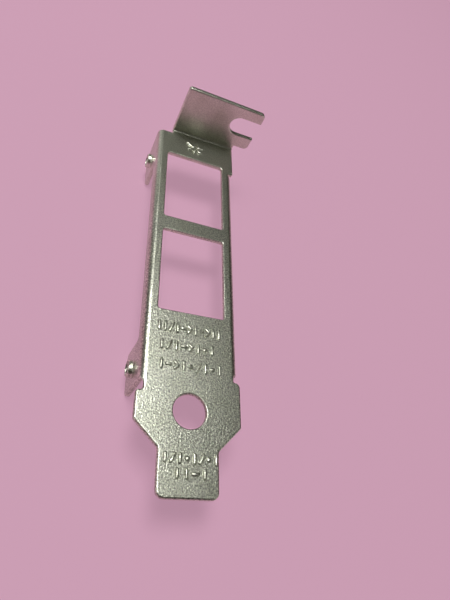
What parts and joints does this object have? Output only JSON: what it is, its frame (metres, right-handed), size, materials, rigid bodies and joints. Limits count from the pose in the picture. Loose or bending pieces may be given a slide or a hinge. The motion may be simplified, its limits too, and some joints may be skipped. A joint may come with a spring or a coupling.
{
  "type": "low-profile expansion card bracket",
  "caption": "Low-profile expansion card bracket folded from sheet steel, with two connector windows, a round hole, a tongue, card tabs with tapped collars and a slotted top tab.",
  "frame": {"origin": "centre of the round hole in the face plate, on the outer face", "axes": "+X across the face towards the open end of the screw slot, +Y along the bracket from the tongue towards the top tab, +Z straight out of the outer face. The card lies behind the face, at -Z"},
  "size_m": [0.0225, 0.0792, 0.0222],
  "materials": {
    "nickel_steel": "satin nickel plating over a fine pebbled sheet, with smooth bends and edges"
  },
  "bodies": {
    "root": {"bracket": "nickel_steel"}
  },
  "joints": []
}
